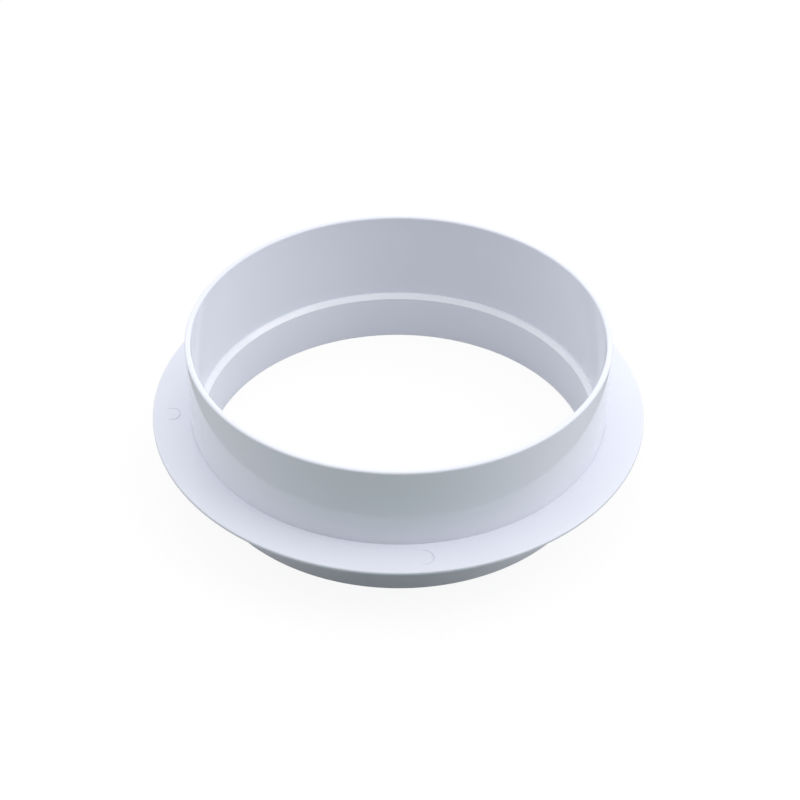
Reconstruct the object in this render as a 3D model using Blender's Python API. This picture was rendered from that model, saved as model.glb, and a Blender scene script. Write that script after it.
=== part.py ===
"""Flanged pipe collar: a socket sleeve with a flat flange ring round it, cemented over a short pipe stub.

Metres, +Z up. The origin is on the collar's axis, in the plane of the stub's lower end,
on which the collar stands.
"""

import math

import bmesh
import bpy
from mathutils import Vector

# Driving dimensions
PIPE_OUTER_RADIUS = 0.0800
BORE_HEAD_RADIUS = 0.0778
BORE_FOOT_RADIUS = 0.0773
GLUE_GAP = 0.0003
SLEEVE_WALL = 0.0023
STOP_LAND = 0.0008
FLANGE_OUTER_RADIUS = 0.0974
FLANGE_THICKNESS = 0.0013
TONGUE_THICKNESS = 0.0005
GROOVE_DEPTH = 0.0008

# Heights above and depths below the flange's upper face
COLLAR_HEIGHT = 0.0344
STOP_DEPTH = 0.0043
BEVEL_DEPTH = 0.0060
LAP_DEPTH = 0.0120
SPIGOT_DEPTH = 0.0253

# Edge roundings
FINE_EDGE = 0.0002
MOULDED_EDGE = 0.0005

# Fineness of the turned surfaces
SEGMENTS = 96
ARC_STEPS = 2
SMOOTH_ANGLE = math.radians(40)

# Finish of the moulded plastic, in linear colour
WHITE_PLASTIC = (0.80, 0.82, 0.87, 1.0)
PIPE_PLASTIC = (0.78, 0.80, 0.85, 1.0)
GLOSS_ROUGHNESS = 0.22
PLASTIC_IOR = 1.53

# Worked-out radii and levels
SLEEVE_INNER_RADIUS = PIPE_OUTER_RADIUS + GLUE_GAP
SLEEVE_OUTER_RADIUS = SLEEVE_INNER_RADIUS + SLEEVE_WALL
GROOVE_RADIUS = SLEEVE_OUTER_RADIUS - GROOVE_DEPTH
FLANGE_INNER_RADIUS = SLEEVE_OUTER_RADIUS + GLUE_GAP
TONGUE_RADIUS = GROOVE_RADIUS + GLUE_GAP
TONGUE_FOOT = (FLANGE_THICKNESS - TONGUE_THICKNESS) / 2
TONGUE_TOP = TONGUE_FOOT + TONGUE_THICKNESS
FLANGE_TOP = SPIGOT_DEPTH
FLANGE_BOTTOM = FLANGE_TOP - FLANGE_THICKNESS
SLEEVE_BOTTOM = FLANGE_TOP - LAP_DEPTH
STOP_LEVEL = FLANGE_TOP - STOP_DEPTH
BEVEL_FOOT = FLANGE_TOP - BEVEL_DEPTH


def clear_scene():
    """Remove whatever the open file holds."""
    for obj in list(bpy.data.objects):
        bpy.data.objects.remove(obj, do_unlink=True)


def plastic(name, colour):
    """A glossy moulded plastic."""
    material = bpy.data.materials.new(name)
    material.use_nodes = True
    shader = material.node_tree.nodes["Principled BSDF"]
    shader.inputs["Base Color"].default_value = colour
    shader.inputs["Roughness"].default_value = GLOSS_ROUGHNESS
    shader.inputs["IOR"].default_value = PLASTIC_IOR
    shader.inputs["Metallic"].default_value = 0.0
    return material


def corner_arc(before, corner, after, radius):
    """Points of the arc that rounds one corner of an outline, or the bare corner."""
    if radius == 0.0:
        return [corner]
    to_before = (before - corner).normalized()
    to_after = (after - corner).normalized()
    half_angle = to_before.angle(to_after) / 2
    middle = (to_before + to_after).normalized()
    centre = corner + middle * (radius / math.sin(half_angle))
    reach = radius / math.tan(half_angle)
    start = corner + to_before * reach - centre
    end = corner + to_after * reach - centre
    turn = start.angle_signed(end)
    points = []
    for step in range(ARC_STEPS + 1):
        angle = -turn * step / ARC_STEPS
        across = start.x * math.cos(angle) - start.y * math.sin(angle)
        along = start.x * math.sin(angle) + start.y * math.cos(angle)
        points.append(centre + Vector((across, along)))
    return points


def rounded_outline(corners):
    """A closed outline through (radius, height, rounding) corners."""
    places = [Vector((radius, height)) for radius, height, rounding in corners]
    points = []
    for index, (radius, height, rounding) in enumerate(corners):
        after = places[(index + 1) % len(places)]
        points += corner_arc(places[index - 1], places[index], after, rounding)
    return points


def turned_ring(name, corners, level, material, parent):
    """A ring turned about Z from its cross-section, whose heights count from the given level."""
    shape = bmesh.new()
    verts = [shape.verts.new((point.x, 0.0, point.y)) for point in rounded_outline(corners)]
    edges = [shape.edges.new(pair) for pair in zip(verts, verts[1:] + verts[:1])]
    bmesh.ops.spin(
        shape,
        geom=verts + edges,
        cent=(0.0, 0.0, 0.0),
        axis=(0.0, 0.0, 1.0),
        angle=2 * math.pi,
        steps=SEGMENTS,
        use_merge=True,
    )
    bmesh.ops.recalc_face_normals(shape, faces=shape.faces)
    mesh = bpy.data.meshes.new(name)
    shape.to_mesh(mesh)
    shape.free()
    mesh.shade_smooth()
    mesh.set_sharp_from_angle(angle=SMOOTH_ANGLE)
    mesh.materials.append(material)
    ring = bpy.data.objects.new(name, mesh)
    bpy.context.scene.collection.objects.link(ring)
    ring.parent = parent
    ring.location = (0.0, 0.0, level)
    return ring


def socket_sleeve(parent):
    """The thin collar: a pipe socket, with a groove for the flange outside and a lap over the stub."""
    height = LAP_DEPTH + COLLAR_HEIGHT
    flange_foot = LAP_DEPTH - FLANGE_THICKNESS
    groove_top = flange_foot + TONGUE_TOP + GLUE_GAP
    groove_foot = flange_foot + TONGUE_FOOT - GLUE_GAP
    corners = [
        (SLEEVE_OUTER_RADIUS, height, MOULDED_EDGE),
        (SLEEVE_OUTER_RADIUS, groove_top, 0.0),
        (GROOVE_RADIUS, groove_top, 0.0),
        (GROOVE_RADIUS, groove_foot, 0.0),
        (SLEEVE_OUTER_RADIUS, groove_foot, 0.0),
        (SLEEVE_OUTER_RADIUS, 0.0, MOULDED_EDGE),
        (SLEEVE_INNER_RADIUS, 0.0, FINE_EDGE),
        (SLEEVE_INNER_RADIUS, height, MOULDED_EDGE),
    ]
    turned_ring("socket_sleeve", corners, SLEEVE_BOTTOM, plastic("sleeve_plastic", WHITE_PLASTIC), parent)


def flange_ring(parent):
    """The flat ring that lies on the floor or wall, with a tongue that sits in the sleeve's groove."""
    corners = [
        (FLANGE_OUTER_RADIUS, FLANGE_THICKNESS, MOULDED_EDGE),
        (FLANGE_OUTER_RADIUS, 0.0, FINE_EDGE),
        (FLANGE_INNER_RADIUS, 0.0, 0.0),
        (FLANGE_INNER_RADIUS, TONGUE_FOOT, 0.0),
        (TONGUE_RADIUS, TONGUE_FOOT, 0.0),
        (TONGUE_RADIUS, TONGUE_TOP, 0.0),
        (FLANGE_INNER_RADIUS, TONGUE_TOP, 0.0),
        (FLANGE_INNER_RADIUS, FLANGE_THICKNESS, 0.0),
    ]
    turned_ring("flange_ring", corners, FLANGE_BOTTOM, plastic("flange_plastic", WHITE_PLASTIC), parent)


def pipe_stub(parent):
    """The pipe in the sleeve's lower half, whose bevelled upper end is the ledge that stops a pipe."""
    corners = [
        (PIPE_OUTER_RADIUS, STOP_LEVEL, FINE_EDGE),
        (PIPE_OUTER_RADIUS, 0.0, MOULDED_EDGE),
        (BORE_FOOT_RADIUS, 0.0, MOULDED_EDGE),
        (BORE_HEAD_RADIUS, BEVEL_FOOT, FINE_EDGE),
        (PIPE_OUTER_RADIUS - STOP_LAND, STOP_LEVEL, 0.0),
    ]
    turned_ring("pipe_stub", corners, 0.0, plastic("stub_plastic", PIPE_PLASTIC), parent)


def main():
    clear_scene()
    collar = bpy.data.objects.new("flanged_collar", None)
    bpy.context.scene.collection.objects.link(collar)
    socket_sleeve(collar)
    flange_ring(collar)
    pipe_stub(collar)


main()
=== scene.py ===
"""Looks of the flanged pipe collar: finely turned rings of glossy white plastic on a white floor."""

import math

import bmesh
import bpy
from mathutils import Matrix, Vector


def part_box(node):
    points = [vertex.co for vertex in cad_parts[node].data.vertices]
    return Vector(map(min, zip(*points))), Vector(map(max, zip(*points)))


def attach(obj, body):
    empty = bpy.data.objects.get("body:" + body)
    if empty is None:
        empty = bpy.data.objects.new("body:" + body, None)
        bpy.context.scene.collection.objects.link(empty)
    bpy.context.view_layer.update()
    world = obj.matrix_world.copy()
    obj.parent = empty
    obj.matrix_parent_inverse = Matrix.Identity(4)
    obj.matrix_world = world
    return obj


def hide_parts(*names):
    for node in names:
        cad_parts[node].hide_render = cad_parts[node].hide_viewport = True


# Sizes that the nodes' boxes do not give, in metres
BORE_HEAD_RADIUS = 0.0778
BORE_FOOT_RADIUS = 0.0773
STOP_LAND = 0.0008
BEVEL_FALL = 0.0017
GLUE_GAP = 0.0003
CEMENT_LINE = 0.00003

# Edge roundings, in metres
FINE_EDGE = 0.0002
MOULDED_EDGE = 0.0005
RIM_EDGE = 0.0008
FLANGE_EDGE = 0.0006
EDGE_SUPPORT = 0.00006

# Fineness of the turned surfaces, and of the floor and the card
SEGMENTS = 288
ARC_STEPS = 5
STAGE_SEGMENTS = 64
SMOOTH_ANGLE = math.radians(30)

# Round ejector marks on the flange: fine rings, pressed in deeper on one side
MARK_ANGLES = (math.radians(-174.4), math.radians(-83.9))
MARK_DISTANCE = 0.0899
MARK_RADIUS = 0.0035
MARK_LINE = 0.0005
MARK_DEPTH = 0.00012
MARK_LEAN = math.radians(3.0)
MARK_LEAN_AXIS = Vector((0.0, 1.0, 0.0))

# The photograph's camera, worked out from the collar's outlines
PHOTO_SIDE = 800
SENSOR_WIDTH = 36.0
LENS = 81.3
CAMERA_DISTANCE = 0.7205
CAMERA_ELEVATION = math.radians(39.06)
CAMERA_ROLL = math.radians(0.275)
AIM_PIXEL = (398.4, 401.15)

# Light: a tent of even light with its mouth low on the camera's side, and a softbox on the right
WHITE = (1.0, 1.0, 1.0, 1.0)
TENT_STRENGTH = 1.33
TENT_MOUTH = Vector((0.0, -0.90, -0.44))
MOUTH_EDGE = -0.21
MOUTH_HEART = 0.76
SOFTBOX_PLACE = (0.87, -0.20, 0.80)
SOFTBOX_SIZE = (0.75, 1.0)
SOFTBOX_POWER = 3.2

# Floor: white with a faint shadow where it is seen, and dull where it throws light back, most of all in a
# patch in front of the collar, where the light it throws back is painted shade, darker and greener
FLOOR_RADIUS = 12.0
FLOOR_GLOW = 0.90
FLOOR_SHADED = (0.10, 0.10, 0.10, 1.0)
FLOOR_MIRRORED = (0.85, 0.85, 0.85, 1.0)
BOUNCE_SHADE_HEART = Vector((0.0, -0.24, 0.0))
BOUNCE_SHADE_FADE = (0.10, 0.185)
BOUNCE_PAINTED_SHADE = (0.17, 0.28, 0.245, 1.0)
BOUNCE_AWAY = (0.47, 0.48, 0.47, 1.0)

# A grey card round the collar, which shows only in its gloss as a painted reflection and fades into the
# floor
CARD_HEART = Vector((0.0, 0.0, 0.0))
CARD_INNER_RADIUS = 0.101
CARD_OUTER_RADIUS = 0.45
CARD_LEVEL = 0.0002
CARD_FADE = (0.20, 0.45)
PAINTED_REFLECTION_GREY = (0.30, 0.30, 0.30, 1.0)

# Plastic, in linear colour: a little greyer on the flange and the rim's end as painted shade, and whiter
# on the ledge as painted light
COOL_WHITE = (0.79, 0.815, 0.905, 1.0)
CLOUD_WHITE = (0.775, 0.80, 0.887, 1.0)
# Painted shade: a greyer copy of the collar's plastic for the whole flange
FLANGE_SHADED_WHITE = (0.762, 0.787, 0.88, 1.0)
FLANGE_SHADED_CLOUD = (0.748, 0.773, 0.862, 1.0)
# Painted shade: the rim's end face is greyer than the rest of the collar, over a thin band at its top
RIM_PAINTED_SHADE = (0.75, 0.77, 0.855, 1.0)
RIM_SHADE_BAND = 0.0001
# Painted light: the ledge is whiter than the rest of the plastic
LEDGE_PAINTED_LIGHT = (0.91, 0.93, 0.985, 1.0)
CLOUD_SCALE = 28.0
POLISH_SCALE = 420.0
POLISH_BEST = 0.03
POLISH_WORST = 0.07
DRAW_SCALE = Vector((260.0, 260.0, 6.0))
DRAW_DEPTH = 0.000004
PLASTIC_IOR = 1.5

BODY = "root"


def corner_arc(before, corner, after, radius):
    """Points of the arc that rounds one corner of an outline, with a support point beside each end."""
    if radius == 0.0:
        return [corner]
    to_before = (before - corner).normalized()
    to_after = (after - corner).normalized()
    half_angle = to_before.angle(to_after) / 2
    middle = (to_before + to_after).normalized()
    centre = corner + middle * (radius / math.sin(half_angle))
    reach = radius / math.tan(half_angle)
    start = corner + to_before * reach - centre
    end = corner + to_after * reach - centre
    turn = -start.angle_signed(end)
    points = [corner + to_before * (reach + EDGE_SUPPORT)]
    for step in range(ARC_STEPS + 1):
        angle = turn * step / ARC_STEPS
        across = start.x * math.cos(angle) - start.y * math.sin(angle)
        along = start.x * math.sin(angle) + start.y * math.cos(angle)
        points.append(centre + Vector((across, along)))
    points.append(corner + to_after * (reach + EDGE_SUPPORT))
    return points


def rounded_outline(corners):
    """A closed outline through (radius, height, rounding) corners."""
    places = [Vector((radius, height)) for radius, height, rounding in corners]
    points = []
    for index, (radius, height, rounding) in enumerate(corners):
        after = places[(index + 1) % len(places)]
        points += corner_arc(places[index - 1], places[index], after, rounding)
    return points


def smooth(mesh):
    """Shade a mesh smoothly, apart from its sharp edges."""
    mesh.shade_smooth()
    mesh.set_sharp_from_angle(angle=SMOOTH_ANGLE)


def new_piece(name, shape):
    """A smooth-shaded object from a bmesh, which is freed."""
    mesh = bpy.data.meshes.new(name)
    shape.to_mesh(mesh)
    shape.free()
    smooth(mesh)
    piece = bpy.data.objects.new(name, mesh)
    bpy.context.scene.collection.objects.link(piece)
    return piece


def turned_ring(name, corners):
    """A ring turned about Z from its cross-section."""
    shape = bmesh.new()
    verts = [shape.verts.new((point.x, 0.0, point.y)) for point in rounded_outline(corners)]
    edges = [shape.edges.new(pair) for pair in zip(verts, verts[1:] + verts[:1])]
    bmesh.ops.spin(
        shape,
        geom=verts + edges,
        cent=(0.0, 0.0, 0.0),
        axis=(0.0, 0.0, 1.0),
        angle=2 * math.pi,
        steps=SEGMENTS,
        use_merge=True,
    )
    bmesh.ops.recalc_face_normals(shape, faces=shape.faces)
    return new_piece(name, shape)


def dress(piece, node, material):
    """Let a piece stand for its CAD node, with its finish."""
    piece.data.materials.append(material)
    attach(piece, BODY)
    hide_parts(node)


def cut(piece, tool):
    """Take the tool's shape out of a piece for good."""
    modifier = piece.modifiers.new("cut", "BOOLEAN")
    modifier.operation = "DIFFERENCE"
    modifier.object = tool
    depsgraph = bpy.context.evaluated_depsgraph_get()
    result = bpy.data.meshes.new_from_object(piece.evaluated_get(depsgraph))
    piece.modifiers.remove(modifier)
    piece.data = result
    bpy.data.objects.remove(tool)
    smooth(result)


def press_marks(flange, level):
    """Press the ejector marks into the flange's upper face."""
    outer = MARK_RADIUS + MARK_LINE / 2
    inner = MARK_RADIUS - MARK_LINE / 2
    corners = [
        (outer, MARK_RADIUS, 0.0),
        (outer, -MARK_DEPTH, 0.0),
        (inner, -MARK_DEPTH, 0.0),
        (inner, MARK_RADIUS, 0.0),
    ]
    for angle in MARK_ANGLES:
        place = Vector((MARK_DISTANCE * math.cos(angle), MARK_DISTANCE * math.sin(angle), level))
        punch = turned_ring("mark_punch", corners)
        punch.matrix_world = Matrix.Translation(place) @ Matrix.Rotation(MARK_LEAN, 4, MARK_LEAN_AXIS)
        bpy.context.view_layer.update()
        cut(flange, punch)


def plastic(name, white, cloud):
    """Glossy moulded plastic: faint clouds in its colour, uneven polish and fine marks from the mould."""
    material = bpy.data.materials.new(name)
    material.use_nodes = True
    nodes = material.node_tree.nodes
    links = material.node_tree.links
    shader = nodes["Principled BSDF"]
    shader.inputs["IOR"].default_value = PLASTIC_IOR
    places = nodes.new("ShaderNodeTexCoord")
    clouds = nodes.new("ShaderNodeTexNoise")
    clouds.inputs["Scale"].default_value = CLOUD_SCALE
    links.new(places.outputs["Object"], clouds.inputs["Vector"])
    tint = nodes.new("ShaderNodeValToRGB")
    tint.color_ramp.elements[0].color = cloud
    tint.color_ramp.elements[1].color = white
    links.new(clouds.outputs["Fac"], tint.inputs["Fac"])
    links.new(tint.outputs["Color"], shader.inputs["Base Color"])
    specks = nodes.new("ShaderNodeTexNoise")
    specks.inputs["Scale"].default_value = POLISH_SCALE
    links.new(places.outputs["Object"], specks.inputs["Vector"])
    polish = nodes.new("ShaderNodeMapRange")
    polish.inputs["To Min"].default_value = POLISH_BEST
    polish.inputs["To Max"].default_value = POLISH_WORST
    links.new(specks.outputs["Fac"], polish.inputs["Value"])
    links.new(polish.outputs["Result"], shader.inputs["Roughness"])
    stretch = nodes.new("ShaderNodeMapping")
    stretch.inputs["Scale"].default_value = DRAW_SCALE
    links.new(places.outputs["Object"], stretch.inputs["Vector"])
    draw_marks = nodes.new("ShaderNodeTexNoise")
    draw_marks.inputs["Scale"].default_value = 1.0
    links.new(stretch.outputs["Vector"], draw_marks.inputs["Vector"])
    skin = nodes.new("ShaderNodeBump")
    skin.inputs["Distance"].default_value = DRAW_DEPTH
    links.new(draw_marks.outputs["Fac"], skin.inputs["Height"])
    links.new(skin.outputs["Normal"], shader.inputs["Normal"])
    return material


def end_face(material, foot, head, colour):
    """Let a plastic change to another colour on an end face, between two heights: painted light or shade
    there.
    """
    nodes = material.node_tree.nodes
    links = material.node_tree.links
    places = nodes.new("ShaderNodeTexCoord")
    axes = nodes.new("ShaderNodeSeparateXYZ")
    links.new(places.outputs["Object"], axes.inputs["Vector"])
    reach = nodes.new("ShaderNodeMapRange")
    reach.inputs["From Min"].default_value = foot
    reach.inputs["From Max"].default_value = head
    links.new(axes.outputs["Z"], reach.inputs["Value"])
    blend = nodes.new("ShaderNodeMix")
    blend.data_type = "RGBA"
    links.new(reach.outputs["Result"], blend.inputs[0])
    base = nodes["Principled BSDF"].inputs["Base Color"]
    # A Mix node's two colours are its sockets 6 and 7, and its blended colour is output 2.
    links.new(base.links[0].from_socket, blend.inputs[6])
    blend.inputs[7].default_value = colour
    links.new(blend.outputs[2], base)


def socket_sleeve():
    """The thin collar that takes the pipe."""
    low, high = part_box("socket_sleeve")
    outer = high.x
    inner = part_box("pipe_stub")[1].x + GLUE_GAP
    corners = [
        (outer, high.z, RIM_EDGE),
        (outer, low.z, MOULDED_EDGE),
        (inner, low.z, FINE_EDGE),
        (inner, high.z, RIM_EDGE),
    ]
    piece = turned_ring("collar_sleeve", corners)
    material = plastic("sleeve_white", COOL_WHITE, CLOUD_WHITE)
    # Painted shade on the rim's end face
    end_face(material, high.z - RIM_SHADE_BAND, high.z, RIM_PAINTED_SHADE)
    dress(piece, "socket_sleeve", material)


def flange_ring():
    """The flat ring round the collar, with its ejector marks."""
    low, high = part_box("flange_ring")
    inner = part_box("socket_sleeve")[1].x + CEMENT_LINE
    corners = [
        (high.x, high.z, FLANGE_EDGE),
        (high.x, low.z, FINE_EDGE),
        (inner, low.z, 0.0),
        (inner, high.z, 0.0),
    ]
    piece = turned_ring("collar_flange", corners)
    press_marks(piece, high.z)
    # The flange is painted greyer than the rest of the collar, as painted shade
    material = plastic("flange_painted_shade_white", FLANGE_SHADED_WHITE, FLANGE_SHADED_CLOUD)
    dress(piece, "flange_ring", material)


def pipe_stub():
    """The pipe inside the collar's lower half, with the bevelled ledge that stops the pipe above."""
    low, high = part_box("pipe_stub")
    lap_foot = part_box("socket_sleeve")[0].z + MOULDED_EDGE
    lapped = high.x + GLUE_GAP - CEMENT_LINE
    corners = [
        (lapped, high.z, 0.0),
        (lapped, lap_foot, 0.0),
        (high.x, lap_foot, 0.0),
        (high.x, low.z, MOULDED_EDGE),
        (BORE_FOOT_RADIUS, low.z, MOULDED_EDGE),
        (BORE_HEAD_RADIUS, high.z - BEVEL_FALL, FINE_EDGE),
        (high.x - STOP_LAND, high.z, FINE_EDGE),
    ]
    piece = turned_ring("collar_stub", corners)
    bevel_foot = high.z - BEVEL_FALL
    material = plastic("stub_white", COOL_WHITE, CLOUD_WHITE)
    # Painted light: the bevelled ledge is whiter than the rest of the stub
    end_face(material, bevel_foot - FINE_EDGE, bevel_foot, LEDGE_PAINTED_LIGHT)
    dress(piece, "pipe_stub", material)


def greatest(nodes, links, first, second):
    """The greater of two values."""
    node = nodes.new("ShaderNodeMath")
    node.operation = "MAXIMUM"
    links.new(first, node.inputs[0])
    links.new(second, node.inputs[1])
    return node.outputs["Value"]


def tent():
    """Even light from all round, less from the tent's mouth, and plain white where it is seen."""
    world = bpy.data.worlds.new("light_tent")
    bpy.context.scene.world = world
    world.use_nodes = True
    nodes = world.node_tree.nodes
    links = world.node_tree.links
    nodes.clear()
    direction = nodes.new("ShaderNodeTexCoord")
    mouthward = nodes.new("ShaderNodeVectorMath")
    mouthward.operation = "DOT_PRODUCT"
    mouthward.inputs[1].default_value = TENT_MOUTH
    links.new(direction.outputs["Generated"], mouthward.inputs[0])
    wall = nodes.new("ShaderNodeMapRange")
    wall.interpolation_type = "SMOOTHSTEP"
    wall.inputs["From Min"].default_value = MOUTH_EDGE
    wall.inputs["From Max"].default_value = MOUTH_HEART
    wall.inputs["To Min"].default_value = TENT_STRENGTH
    wall.inputs["To Max"].default_value = 0.0
    links.new(mouthward.outputs["Value"], wall.inputs["Value"])
    lit = nodes.new("ShaderNodeBackground")
    lit.inputs["Color"].default_value = WHITE
    links.new(wall.outputs["Result"], lit.inputs["Strength"])
    shown = nodes.new("ShaderNodeBackground")
    shown.inputs["Color"].default_value = WHITE
    path = nodes.new("ShaderNodeLightPath")
    mirrored = greatest(nodes, links, path.outputs["Is Glossy Ray"], path.outputs["Is Transmission Ray"])
    mix = nodes.new("ShaderNodeMixShader")
    links.new(greatest(nodes, links, path.outputs["Is Camera Ray"], mirrored), mix.inputs["Fac"])
    links.new(lit.outputs["Background"], mix.inputs[1])
    links.new(shown.outputs["Background"], mix.inputs[2])
    output = nodes.new("ShaderNodeOutputWorld")
    links.new(mix.outputs["Shader"], output.inputs["Surface"])


def dull(nodes, colour):
    """A matt surface's shader output."""
    node = nodes.new("ShaderNodeBsdfDiffuse")
    node.inputs["Color"].default_value = colour
    return node.outputs["BSDF"]


def ringed(nodes, links, centre, radii, inner, outer):
    """A matt surface's shader output, with a colour that changes with the distance from a centre."""
    places = nodes.new("ShaderNodeTexCoord")
    distance = nodes.new("ShaderNodeVectorMath")
    distance.operation = "DISTANCE"
    distance.inputs[1].default_value = centre
    links.new(places.outputs["Object"], distance.inputs[0])
    change = nodes.new("ShaderNodeMapRange")
    change.inputs["From Min"].default_value = radii[0]
    change.inputs["From Max"].default_value = radii[1]
    links.new(distance.outputs["Value"], change.inputs["Value"])
    tint = nodes.new("ShaderNodeValToRGB")
    tint.color_ramp.elements[0].color = inner
    tint.color_ramp.elements[1].color = outer
    links.new(change.outputs["Result"], tint.inputs["Fac"])
    matt = nodes.new("ShaderNodeBsdfDiffuse")
    links.new(tint.outputs["Color"], matt.inputs["Color"])
    return matt.outputs["BSDF"]


def floor():
    """A white floor that keeps the collar's soft shadow, and throws back little light, with painted shade
    in front.
    """
    material = bpy.data.materials.new("floor_white")
    material.use_nodes = True
    nodes = material.node_tree.nodes
    links = material.node_tree.links
    nodes.clear()
    path = nodes.new("ShaderNodeLightPath")
    mirrored = greatest(nodes, links, path.outputs["Is Glossy Ray"], path.outputs["Is Transmission Ray"])
    unseen = nodes.new("ShaderNodeMixShader")
    links.new(mirrored, unseen.inputs["Fac"])
    # Painted shade: the bounced light is darker and greener in a patch in front of the collar
    bounce = ringed(nodes, links, BOUNCE_SHADE_HEART, BOUNCE_SHADE_FADE, BOUNCE_PAINTED_SHADE, BOUNCE_AWAY)
    links.new(bounce, unseen.inputs[1])
    links.new(dull(nodes, FLOOR_MIRRORED), unseen.inputs[2])
    glow = nodes.new("ShaderNodeEmission")
    glow.inputs["Strength"].default_value = FLOOR_GLOW
    shown = nodes.new("ShaderNodeAddShader")
    links.new(glow.outputs["Emission"], shown.inputs[0])
    links.new(dull(nodes, FLOOR_SHADED), shown.inputs[1])
    mix = nodes.new("ShaderNodeMixShader")
    links.new(path.outputs["Is Camera Ray"], mix.inputs["Fac"])
    links.new(unseen.outputs["Shader"], mix.inputs[1])
    links.new(shown.outputs["Shader"], mix.inputs[2])
    output = nodes.new("ShaderNodeOutputMaterial")
    links.new(mix.outputs["Shader"], output.inputs["Surface"])
    shape = bmesh.new()
    bmesh.ops.create_circle(shape, cap_ends=True, segments=STAGE_SEGMENTS, radius=FLOOR_RADIUS)
    plane = new_piece("floor", shape)
    plane.data.materials.append(material)


def painted_reflection_card():
    """A card laid round the collar, out of the camera's sight and seen only in gloss: a painted
    reflection that edges its glossy walls.
    """
    shape = bmesh.new()
    rims = []
    for radius in (CARD_INNER_RADIUS, CARD_OUTER_RADIUS):
        rim = bmesh.ops.create_circle(shape, segments=STAGE_SEGMENTS, radius=radius)
        rims += rim["verts"]
    bmesh.ops.bridge_loops(shape, edges=shape.edges[:])
    bmesh.ops.translate(shape, verts=rims, vec=(0.0, 0.0, CARD_LEVEL))
    card = new_piece("painted_reflection_card", shape)
    material = bpy.data.materials.new("painted_reflection_grey")
    material.use_nodes = True
    nodes = material.node_tree.nodes
    links = material.node_tree.links
    nodes.clear()
    output = nodes.new("ShaderNodeOutputMaterial")
    fading = ringed(nodes, links, CARD_HEART, CARD_FADE, PAINTED_REFLECTION_GREY, FLOOR_MIRRORED)
    links.new(fading, output.inputs["Surface"])
    card.data.materials.append(material)
    # Seen only by glossy rays: a painted reflection
    card.visible_camera = False
    card.visible_diffuse = False
    card.visible_transmission = False
    card.visible_shadow = False


def softbox():
    """A broad soft lamp on the right."""
    lamp = bpy.data.lights.new("softbox", "AREA")
    lamp.shape = "RECTANGLE"
    lamp.size = SOFTBOX_SIZE[0]
    lamp.size_y = SOFTBOX_SIZE[1]
    lamp.energy = SOFTBOX_POWER
    light = bpy.data.objects.new("softbox", lamp)
    light.location = SOFTBOX_PLACE
    light.rotation_euler = (-Vector(SOFTBOX_PLACE)).to_track_quat("-Z", "Y").to_euler()
    bpy.context.scene.collection.objects.link(light)


def camera():
    """The photograph's viewpoint."""
    aim = Vector((0.0, 0.0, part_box("flange_ring")[1].z))
    forward = Vector((0.0, math.cos(CAMERA_ELEVATION), -math.sin(CAMERA_ELEVATION)))
    level = Vector((1.0, 0.0, 0.0))
    upright = level.cross(forward)
    right = level * math.cos(CAMERA_ROLL) + upright * math.sin(CAMERA_ROLL)
    up = right.cross(forward)
    data = bpy.data.cameras.new("photo_camera")
    data.sensor_width = SENSOR_WIDTH
    data.lens = LENS
    data.shift_x = (PHOTO_SIDE / 2 - AIM_PIXEL[0]) / PHOTO_SIDE
    data.shift_y = (AIM_PIXEL[1] - PHOTO_SIDE / 2) / PHOTO_SIDE
    eye = bpy.data.objects.new("photo_camera", data)
    turn = Matrix((right, up, -forward)).transposed().to_4x4()
    eye.matrix_world = Matrix.Translation(aim - forward * CAMERA_DISTANCE) @ turn
    bpy.context.scene.collection.objects.link(eye)
    bpy.context.scene.camera = eye


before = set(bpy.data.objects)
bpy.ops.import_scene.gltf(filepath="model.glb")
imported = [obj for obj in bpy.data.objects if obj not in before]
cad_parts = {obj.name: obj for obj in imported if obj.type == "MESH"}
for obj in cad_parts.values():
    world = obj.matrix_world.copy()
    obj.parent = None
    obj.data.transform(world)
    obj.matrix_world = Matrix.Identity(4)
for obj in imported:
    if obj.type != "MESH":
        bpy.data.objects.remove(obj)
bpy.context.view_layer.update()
bpy.context.scene.view_settings.view_transform = "Standard"
camera()
socket_sleeve()
flange_ring()
pipe_stub()
floor()
painted_reflection_card()
tent()
softbox()
bpy.context.view_layer.update()
